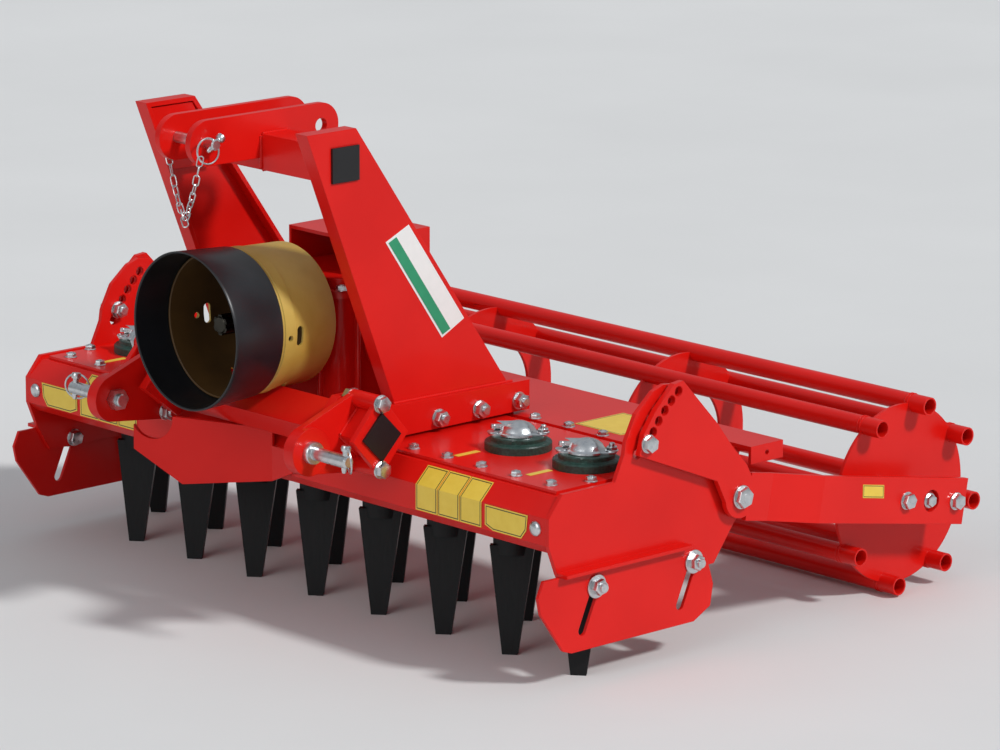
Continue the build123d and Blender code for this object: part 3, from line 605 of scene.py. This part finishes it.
# %% [markdown]
# ## The drive guard
# Two plastic shells cover the drive shaft: a mustard tube bolted to the gearbox and
# a wider black sleeve pushed over its front. Both taper slightly. They could be
# cones with a wall from Solidify, but then the lips would be square. A closed lathe
# profile gives the wall, the rolled lip and the step in one go. A Boolean cuts the
# slot and the round hole on each side, and the notch over the front tube.

# %% Guard shells
GUARD_Z = 508
AXIS_FLIP = Matrix.Rotation(math.radians(-90), 4, "X")


def along_drive(bm):
    """Lays a lathe part down along Y on the drive axis: its own height becomes y."""
    lay = Matrix.Translation(at(0, 0, GUARD_Z)) @ AXIS_FLIP
    bmesh.ops.transform(bm, matrix=lay, verts=bm.verts)


bm = bmesh.new()
turned(bm, [(129.4, -372), (130.8, -373.6), (132.6, -373.6), (133.4, -372), (133.2, -368),
            (127.4, -269.4), (126.4, -268), (124.6, -268), (123.4, -269), (129.2, -366)],
       128, closed=True)
along_drive(bm)
sleeve = finish("guard_sleeve", bm, "frame", "black_plastic", black_moulding)
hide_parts("pto_shield_front")

# %% Mustard tube
bm = bmesh.new()
turned(bm, [(119.2, -307), (120.4, -308), (122.2, -308), (122.8, -306.6), (122.9, -262),
            (124.6, -260.5), (124.6, -240), (123.0, -238.5), (120, -150), (117.5, -146.2),
            (36, -146.2), (33, -148), (36, -149.8), (114.6, -150.4), (116.4, -153),
            (119.0, -262)], 128, closed=True)
along_drive(bm)
bmesh.ops.recalc_face_normals(bm, faces=bm.faces)
# Painted shade: faces inside the tube and faces along the drive take the dark brown second
# material.
for face in bm.faces:
    middle = face.calc_center_median() - at(0, 0, GUARD_Z)
    if Vector((middle.x, 0, middle.z)).dot(face.normal) < 0 or abs(face.normal.y) > 0.9:
        face.material_index = 1
tube = finish("guard_tube", bm, "frame", "yellow_plastic", mustard_moulding, shaded_moulding)

# %% Cutter for the slots, the holes and the notch
NOTCH = 74
NOTCH_LENGTH = 400
slot_shape = bmesh.new()
turned(slot_shape, [(0, -40), (7, -40), (7, 40), (0, 40)], 28)
for vert in slot_shape.verts:
    if abs(vert.co.y) > 1e-6:
        vert.co.y += math.copysign(10 * MM, vert.co.y)
slot_cut = template("slot_cut", slot_shape)
hole_shape = bmesh.new()
turned(hole_shape, [(0, -40), (5.2, -40), (5.2, 40), (0, 40)], 24)
hole_cut = template("hole_cut", hole_shape)

cutter = bmesh.new()
lay = Matrix.Rotation(math.radians(90), 4, "Z") @ Matrix.Rotation(math.radians(90), 4, "X")
for side in (-1, 1):
    stamp(cutter, slot_cut, Matrix.Translation(at(side * 118, -228, 499)) @ lay)
    stamp(cutter, hole_cut, Matrix.Translation(at(side * 118, -250, 498)) @ lay)
notch = bmesh.ops.create_cube(cutter, size=1.0)["verts"]
bmesh.ops.scale(cutter, vec=(NOTCH_LENGTH * MM, NOTCH * MM, NOTCH * MM), verts=notch)
bmesh.ops.rotate(cutter, cent=(0, 0, 0), matrix=Matrix.Rotation(math.radians(45), 3, "X"),
                 verts=notch)
bmesh.ops.translate(cutter, vec=at(0, *FRONT_TUBE), verts=notch)
cutter_object = bpy.data.objects.new("guard_cutter", template("guard_cutter", cutter))
scene.collection.objects.link(cutter_object)
print("cutter:", len(cutter_object.data.polygons), "faces")

# %% Cut the tube
cut = tube.modifiers.new("cut", "BOOLEAN")
cut.object = cutter_object
cut.operation = "DIFFERENCE"
cut.solver = "EXACT"
bpy.context.view_layer.update()
evaluated = tube.evaluated_get(bpy.context.evaluated_depsgraph_get())
cut_mesh = bpy.data.meshes.new_from_object(evaluated)
tube.modifiers.clear()
tube.data = cut_mesh
bpy.data.objects.remove(cutter_object)
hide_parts("pto_shield_rear", "pto_shield_back")
print("guard tube after cutting:", len(tube.data.polygons), "faces")

# %% [markdown]
# ## The drive shaft
# The input shaft is a 1 3/8 inch spline: six keys on a core with a chamfered tip, and
# a plain collar behind them. The keys could be six bars set round a rod. Here a
# circle of 72 points has every stretch between two keys pushed in to the root, and is
# then extruded, so the section is right with no seams.

# %% Splined shaft
KEY_RADIUS, ROOT_RADIUS = 17.45, 14.6
SPLINE_START, SPLINE_LENGTH = -298, 86
bm = bmesh.new()
section = bmesh.ops.create_circle(bm, cap_ends=True, segments=72, radius=KEY_RADIUS * MM)
for i, vert in enumerate(section["verts"]):
    if i % 12 in (4, 5, 6, 7, 8):
        vert.co.xy *= ROOT_RADIUS / KEY_RADIUS
pushed = bmesh.ops.extrude_face_region(bm, geom=bm.faces[:])
bmesh.ops.translate(bm, vec=(0, 0, SPLINE_LENGTH * MM), verts=new_verts(pushed))
bmesh.ops.translate(bm, vec=(0, 0, SPLINE_START * MM), verts=bm.verts)
turned(bm, [(0, -300), (12.6, -300), (14.4, -298.2), (14.4, -276), (0, -276)], 36)
turned(bm, [(0, -212), (17, -212), (22, -208), (22, -150), (24, -148), (24, -100.3),
            (0, -100.3)], 48)
along_drive(bm)
shaft = finish("splined_shaft", bm, "input", "machined_steel", oiled_steel)
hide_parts("pto_shaft")

# %% [markdown]
# ## Bolts on the roller arms
# Each arm turns on a large pivot bolt and is held by a smaller bolt in one of six
# holes, here the lowest. Its head rides on the arm and its nut stays on the end
# plate. Two bolts carry the roller's bearing, and the roller's own end bolt turns
# between them. The pivot's plain head in the CAD is replaced by a washer and a
# hexagon of the same size; the rest is new.

# %% Arm hardware
PIVOT = (234, 253)
ARM_FACE = 690.5
ARM_END_FACE = 710.5
ROLLER = (677, 172.3)
LOCK_RADIUS, LOCK_ANGLE = 250, math.radians(30.2)
drop = math.atan2(PIVOT[1] - ROLLER[1], ROLLER[0] - PIVOT[0])

bm = bmesh.new()
turned(bm, [(0, 0), (20, 0), (20, 2.6), (19, 3.6), (0, 3.6)], 48)
prism(bm, 31, 3.4, 13.2, 3.2)
turned(bm, [(0, 12.8), (9, 12.8), (8, 13.9), (0, 14.1)], 32)
pivot_head = template("pivot_head", bm)
bm = bmesh.new()
for side in (-1, 1):
    stamp(bm, pivot_head, facing(at(side * (ARM_FACE + 0.3), *PIVOT), (side, 0, 0), 14))
    stamp(bm, pivot_head, facing(at(side * END_PLATE_INSIDE, *PIVOT), (-side, 0, 0), 40))
    pin = bmesh.new()
    turned(pin, [(0, 651), (12, 651), (12, 690.8), (0, 690.8)], 40)
    turned(pin, [(12, 675), (26, 675), (26, 679.2), (25.2, 680), (12, 680)], 48)
    stamp(bm, template("pivot_pin", pin), Matrix.Translation(at(0, *PIVOT)) @ sideways(side))
pivots = finish("pivot_bolts", bm, "frame", "zinc_plating", bright_zinc)
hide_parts("arm_pivots")

# %% Lock bolts and bearing bolts
BEARING_BOLT_REACH = 63
lock = (PIVOT[0] - LOCK_RADIUS * math.cos(LOCK_ANGLE),
        PIVOT[1] + LOCK_RADIUS * math.sin(LOCK_ANGLE))
bm = bmesh.new()
for side in (-1, 1):
    stamp(bm, hex_bolt, facing(at(side * ARM_FACE, *lock), (side, 0, 0), 22))
    for step, turn in ((-BEARING_BOLT_REACH, 4), (BEARING_BOLT_REACH, 31)):
        y = ROLLER[0] + step * math.cos(drop)
        z = ROLLER[1] - step * math.sin(drop)
        stamp(bm, hex_bolt, facing(at(side * ARM_END_FACE, y, z), (side, 0, 0), turn))
finish("arm_bolts", bm, "roller_arms", "zinc_plating", bright_zinc)

# %% Lock nuts and shaft ends
bm = bmesh.new()
for side in (-1, 1):
    stamp(bm, nut_end, facing(at(side * END_PLATE_INSIDE, *lock), (-side, 0, 0), 12))
finish("lock_nuts", bm, "frame", "zinc_plating", bright_zinc)

bm = bmesh.new()
turned(bm, [(0, 0), (13.5, 0), (13.5, 2.4), (12.6, 3.2), (0, 3.2)], 32)
prism(bm, 19, 3, 10, 1.8)
end_bolt = template("end_bolt", bm)
bm = bmesh.new()
for side in (-1, 1):
    stamp(bm, end_bolt, facing(at(side * 704.5, *ROLLER), (side, 0, 0), 25))
finish("roller_end_bolts", bm, "roller", "zinc_plating", bright_zinc)

# %% [markdown]
# ## Linkage pins
# The tractor's lower links slip over two 22 mm pins, and its top link over a third.
# They are turned and plated. The CAD has them as plain rods; they are replaced by
# lathe parts to give them the chamfered end, the collar's edges and the hex nut.

# %% Turned pins
LINK_PIN = (-330, 345)
TOP_PIN = (-357, 827)
bm = bmesh.new()
for side in (-1, 1):
    pin = bmesh.new()
    turned(pin, [(0, 221), (9.5, 221), (11, 222.5), (11, 266), (19, 266), (19, 275.4), (18, 277),
                 (11.6, 277.6), (11, 278.4), (11, 355.5), (8.2, 359), (0, 359)], 48)
    prism(pin, 33, 227, 242.8, 3.0)
    stamp(bm, template("lower_pin", pin), Matrix.Translation(at(0, *LINK_PIN)) @ sideways(side))
lower_pins = finish("lower_linkage_pins", bm, "frame", "zinc_plating", bright_zinc)
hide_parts("lower_pin_right", "lower_pin_left")

bm = bmesh.new()
turned(bm, [(0, -67), (7.6, -67), (9.5, -64.6), (9.5, 64.6), (7.6, 67), (0, 67)], 40)
bmesh.ops.transform(bm, matrix=Matrix.Translation(at(0, *TOP_PIN)) @ sideways(1), verts=bm.verts)
top_pin = finish("top_linkage_pin", bm, "frame", "zinc_plating", bright_zinc)
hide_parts("top_link_pin")

# %% [markdown]
# ## Linch pins
# A linch pin is a short tapered peg with a barrel head, and a sprung wire ring hinged
# in the head that snaps over the peg's tip. Each pin end has one. The ring could be a
# bevelled curve, but a small circle spun about Z gives a closed mesh of any wire size.

# %% Linch pin parts
def wire_ring(bm, radius, wire, steps=40, around=10):
    """A ring of round wire about Z, in millimetres."""
    turns = [math.tau * i / around for i in range(around)]
    circle = [(radius + wire * math.cos(a), wire * math.sin(a)) for a in turns]
    turned(bm, circle, steps, closed=True)


def linch_pin(bm, centre, along, ring_centre, ring_axis, ring_radius, length=44, girth=5.2):
    """A peg through a cross hole and its ring."""
    peg = bmesh.new()
    half = length / 2
    turned(peg, [(0, -half), (girth - 2.2, -half + 1), (girth - 0.4, -half + 7),
                 (girth, -half + 12), (girth, half - 8), (girth + 2.6, half - 7),
                 (girth + 3.4, half - 2), (girth + 2.2, half + 2), (0, half + 3)], 24)
    stamp(bm, template("peg", peg), facing(centre, along))
    ring = bmesh.new()
    wire_ring(ring, ring_radius, 1.7)
    stamp(bm, template("ring", ring), facing(ring_centre, ring_axis))


bm = bmesh.new()
for side in (-1, 1):
    linch_pin(bm, at(side * 349, -330, 347), (0, 0.12, 1), at(side * 351, -324, 347),
              (side * 0.5, 0.86, 0.1), 22)
finish("lower_linch_pins", bm, "frame", "zinc_plating", bright_zinc)

bm = bmesh.new()
linch_pin(bm, at(61, *TOP_PIN), (0.1, 0.75, 0.6), at(62, -371, 818), (1.0, -0.1, 0.1), 21, 36)
linch_pin(bm, at(-61, *TOP_PIN), (0, 0.3, 1.0), at(-62, -348, 806), (1.0, 0.25, 0.2), 21, 36)
finish("top_linch_pins", bm, "frame", "zinc_plating", bright_zinc)

# %% [markdown]
# ## The safety chain
# A light chain of long links ties the two top linch pins together, and hangs in a V
# between them. It could be settled by a rigid body run, but the photograph shows how
# it hangs. So the links are laid along two slack arms that meet at the bottom. Each
# is a wire ring pulled out to an oval, and stands across its neighbour.

# %% Chain
LINK_PITCH = 15.5 * MM
LINK_STRETCH = 5.2
SLACK = 9
far_end, lowest, near_end = at(-61, -352, 786), at(0, -371, 692), at(62, -388, 803)
link = bmesh.new()
wire_ring(link, 5.0, 1.15, 20, 8)
for vert in link.verts:
    if abs(vert.co.x) > 1e-6:
        vert.co.x += math.copysign(LINK_STRETCH * MM, vert.co.x)
link_mesh = template("chain_link", link)
bm = bmesh.new()
count = 0
for start, shared in ((far_end, 1), (near_end, 0)):
    arm = lowest - start
    steps = round(arm.length / LINK_PITCH)
    for i in range(steps + shared):
        share = i / steps
        sag = Vector((0, 0, -SLACK * MM * math.sin(math.pi * share)))
        slope = arm.normalized() + Vector((0, 0, -0.25 * math.cos(math.pi * share)))
        lay = Vector((1, 0, 0)).rotation_difference(slope.normalized()).to_matrix().to_4x4()
        twist = Matrix.Rotation(math.radians(35 + 90 * (i % 2) + 14 * i), 4, "X")
        stamp(bm, link_mesh, Matrix.Translation(start + arm * share + sag) @ lay @ twist)
        count += 1
finish("safety_chain", bm, "frame", "zinc_plating", bright_zinc)
print("links:", count)

# %% [markdown]
# ## The gearbox casting
# The CAD gearbox is its plain body. The real one is a sand casting with a joint flange
# near the top, fins against heat, a round cover on each side and hexagon heads along
# the joint. Each is a slab with rounded corners or a lathe part, bedded in the body.

# %% Rounded slab
def slab(bm, x, y, z, radius, edge=2.0, around=8):
    """A block with rounded upright corners from its low and high x, y and z, in millimetres."""
    block = bmesh.new()
    ring = []
    for cx, cy, start in ((x[1] - radius, y[1] - radius, 0), (x[0] + radius, y[1] - radius, 90),
                          (x[0] + radius, y[0] + radius, 180), (x[1] - radius, y[0] + radius, 270)):
        for i in range(around + 1):
            a = math.radians(start + 90 * i / around)
            corner = at(cx + radius * math.cos(a), cy + radius * math.sin(a), z[0])
            ring.append(block.verts.new(corner))
    low = block.faces.new(ring)
    raised = new_verts(bmesh.ops.extrude_face_region(block, geom=[low], use_keep_orig=True))
    bmesh.ops.translate(block, vec=(0, 0, (z[1] - z[0]) * MM), verts=raised)
    rim = {e for v in raised for e in v.link_edges if e.other_vert(v) in raised}
    bmesh.ops.bevel(block, geom=list(rim), offset=edge * MM, segments=2, profile=0.5,
                    affect="EDGES", material=-1)
    stamp(bm, template("slab", block), Matrix.Identity(4))


# %% Gearbox details
BODY_X, BODY_Y, BODY_LOW = 92, (-120, 82), 340
FLANGE = (540, 554)
RIB = (BODY_LOW - 1, FLANGE[0] + 1)
SIDE_COVER = (-19, 455)
bm = bmesh.new()
slab(bm, (-BODY_X - 9, BODY_X + 9), (BODY_Y[0] - 9, BODY_Y[1] + 9), FLANGE, 38)
for side in (-1, 1):
    ribs_x = sorted((side * (BODY_X - 6), side * (BODY_X + 8)))
    for y in (-78, -19, 40):
        slab(bm, ribs_x, (y - 4, y + 4), RIB, 3.5, 1.0, 3)
    boss = bmesh.new()
    turned(boss, [(0, -4), (44, -4), (44, 9), (42, 11.5), (24, 12), (21, 15), (0, 15)], 56)
    stamp(bm, template("side_cover", boss), facing(at(side * BODY_X, *SIDE_COVER), (side, 0, 0)))
for x in (-50, 50):
    slab(bm, (x - 4, x + 4), (BODY_Y[0] - 8, BODY_Y[0] + 6), RIB, 3.5, 1.0, 3)
    slab(bm, (x - 4, x + 4), (BODY_Y[1] - 6, BODY_Y[1] + 8), RIB, 3.5, 1.0, 3)
finish("gearbox_casting_details", bm, "frame", "red_enamel", red_casting)

# %% Gearbox bolts
COVER_BOLT_RING = 34
bm = bmesh.new()
for side in (-1, 1):
    for x, y in ((91, -110), (93, -48), (93, 14), (91, 74)):
        stamp(bm, flanged_nut, facing(at(side * x, y, FLANGE[1]), UP, y))
    for y in (-116, -62, 28, 92):
        stamp(bm, flanged_nut, facing(at(side * 107, y, BODY_LOW), UP, 2 * y))
    for i in range(6):
        a = math.tau * (i + 0.5) / 6
        seat = at(side * (BODY_X + 11), SIDE_COVER[0] + COVER_BOLT_RING * math.cos(a),
                  SIDE_COVER[1] + COVER_BOLT_RING * math.sin(a))
        stamp(bm, flanged_nut, facing(seat, (side, 0, 0), 60 * i + 9))
finish("gearbox_bolts", bm, "frame", "zinc_plating", bright_zinc)

# %% [markdown]
# ## Plates inside the mast's top, and welds
# A flat plate closes the top of each mast channel round the crossbar. The frame is
# joined by short runs of MIG weld: a bead about 5 mm wide with a ripple every 2 mm.
# A bump map would give the ripples but not the bead. A round bar with a rippled lathe
# profile, half sunk in the corner, gives both. Each roller tube has a thin ring of
# weld on both faces of the end disc.

# %% Channel plates
bm = bmesh.new()
outline = [(-281, 845), (-191, 845), (-146, 735), (-243, 735)]
for side in (-1, 1):
    face = bm.faces.new([bm.verts.new(at(side * 194, y, z)) for y, z in outline])
    pushed = bmesh.ops.extrude_face_region(bm, geom=[face], use_keep_orig=True)
    bmesh.ops.translate(bm, vec=(side * 5 * MM, 0, 0), verts=new_verts(pushed))
finish("mast_channel_plates", bm, "frame", "red_enamel", red_enamel)

# %% Weld beads
def weld(bm, start, stop, radius=2.8):
    """A rippled bead from one point to another."""
    length = (stop - start).length / MM
    ripples = max(2, round(length / 2.2))
    profile = [(radius * (1.0 if i % 2 else 0.8), length * i / ripples) for i in range(1, ripples)]
    bead = bmesh.new()
    turned(bead, [(0, 0), *profile, (0, length)], 10)
    stamp(bm, template("bead", bead), facing(start, stop - start))


CROSSBAR_RUNS = (((-245, 770), (-245, 828)), ((-184, 770), (-184, 828)),
                 ((-243, 829.5), (-185, 829.5)), ((-243, 768.5), (-185, 768.5)))
TUBE_CORNERS = ((-260.5, 360), (-218, 402.5), (-175.5, 360), (-218, 317.5))
bm = bmesh.new()
for side in (-1, 1):
    weld(bm, at(side * 220, -112, 383), at(side * 220, 160, 379), 3.2)
    for a, b in CROSSBAR_RUNS:
        weld(bm, at(side * 46, *a), at(side * 46, *b))
    for a, b in zip(TUBE_CORNERS, (*TUBE_CORNERS[1:], TUBE_CORNERS[0])):
        weld(bm, at(side * 242, *a), at(side * 242, *b))
        weld(bm, at(side * 256, *a), at(side * 256, *b))
finish("frame_welds", bm, "frame", "red_enamel", red_enamel, sharp=60.0)

# %% Weld rings on the roller
BAR_RING = 156
FIRST_BAR = 122.5
ring = bmesh.new()
wire_ring(ring, 16.3, 1.1, 40, 8)
weld_ring = template("weld_ring", ring)
bm = bmesh.new()
for i in range(8):
    a = math.radians(FIRST_BAR + 45 * i)
    y, z = ROLLER[0] + BAR_RING * math.cos(a), ROLLER[1] + BAR_RING * math.sin(a)
    for x in (-634, -628, 628, 634):
        stamp(bm, weld_ring, facing(at(x, y, z), (1, 0, 0)))
finish("roller_welds", bm, "roller", "red_enamel", red_enamel, sharp=60.0)

# %% [markdown]
# ## Films that wrap a fold
# The front plates are stuck across the trough's bevel and down its face, so each is
# one strip with a fold. A decal on the paint could draw them, but then they would
# have no edge. Each is a sheet here: a loop of points for each of its flats, two
# insets for the thin dark border line, and solidify for the thickness. It stands
# a fraction of a millimetre off the paint, clear of the CAD mesh.

# %% Film helper
FILM = 0.4 * MM
STAND = 0.6


def film(bm, loops, outward, border=0.0, line=0.0, colours=(0, 1)):
    """A film from loops of points, one for each flat of it, as a thin closed sheet."""
    sheet = bmesh.new()
    for loop in loops:
        face = sheet.faces.new([sheet.verts.new(point) for point in loop])
        face.normal_update()
        if face.normal.dot(Vector(outward)) < 0:
            face.normal_flip()
    bmesh.ops.remove_doubles(sheet, verts=sheet.verts, dist=1e-6)
    if border:
        flats = sheet.faces[:]
        for width in (border, line):
            rim = bmesh.ops.inset_region(sheet, faces=flats, thickness=width * MM,
                                         use_boundary=True, use_even_offset=True)
        for face in rim["faces"]:
            face.material_index = 1
    bmesh.ops.solidify(sheet, geom=sheet.faces[:], thickness=FILM)
    bmesh.ops.recalc_face_normals(sheet, faces=sheet.faces)
    mesh = bpy.data.meshes.new("film")
    sheet.to_mesh(mesh)
    sheet.free()
    first = len(bm.faces)
    bm.from_mesh(mesh)
    bm.faces.ensure_lookup_table()
    for face in bm.faces[first:]:
        face.material_index = colours[face.material_index]


def strip(rows):
    """The flats between rows of two points each."""
    return [(upper[0], upper[1], lower[1], lower[0]) for upper, lower in zip(rows, rows[1:])]


print("film:", FILM, "m thick, standing", STAND, "mm off")

# %% Front plates
BEVEL_ROW = ((-160.0, 313.0), (-188.0, 285.6), (-188.0, 243.0))
SHIELD = ((527, 284), (627, 284), (624, 258), (612, 243), (546, 243), (527, 250))
bm = bmesh.new()
for side in (-1, 1):
    for i in range(3):
        x0 = 361 + 53 * i
        rows = [[at(side * x, y, z) for x in (x0, x0 + 51.5)] for y, z in BEVEL_ROW]
        film(bm, strip(rows), (0, -1, 0.3), 2.2, 1.6)
    film(bm, [[at(side * x, -188, z) for x, z in SHIELD]], (0, -1, 0), 2.2, 1.6)
finish("front_plates", bm, "frame", None, yellow_film, dark_line_film, recalc=False)

# %% Strips beside the bearings, and the hood plate
FILM_TOP = COVER_TOP + STAND
bm = bmesh.new()
for side in (-1, 1):
    for x in (369, 541):
        rows = [[at(side * v, y, FILM_TOP) for v in (x, x + 12)] for y in (-62, -112)]
        film(bm, strip(rows), UP)
rows = [[at(v, y, FILM_TOP) for v in (345, 455)] for y in (300, 187)]
film(bm, strip(rows), UP, 2.4, 1.8)
finish("cover_plates", bm, "frame", None, yellow_film, dark_line_film, recalc=False)

# %% Arm plates, laid along the arm's slope
ARM_SLOPE = 0.185
bm = bmesh.new()
for side in (-1, 1):
    x = side * (ARM_END_FACE + STAND)
    rows = [[at(x, y, z - (y - 530) * ARM_SLOPE) for y in (505, 557)] for z in (226, 203)]
    film(bm, strip(rows), (side, 0, 0), 1.4, 1.2)
finish("arm_plates", bm, "roller_arms", None, yellow_film, dark_line_film, recalc=False)

# %% Patch on the mast, with its green band
MAST_FACE = 219
PATCH = ((-126, 657), (-75, 680), (49, 504), (-1, 478))
bm = bmesh.new()
corners = [at(MAST_FACE + STAND, y, z) for y, z in PATCH]
film(bm, [corners], (1, 0, 0))
across = corners[1] - corners[0]
along = corners[3] - corners[0]
start = corners[0] + across * 0.07 + along * 0.02 + Vector((FILM * 1.5, 0, 0))
wide, long = across * 0.34, along * 0.96
film(bm, [[start, start + wide, start + wide + long, start + long]], (1, 0, 0), colours=(1, 1))
finish("mast_patch", bm, "frame", None, white_film, green_film, recalc=False)
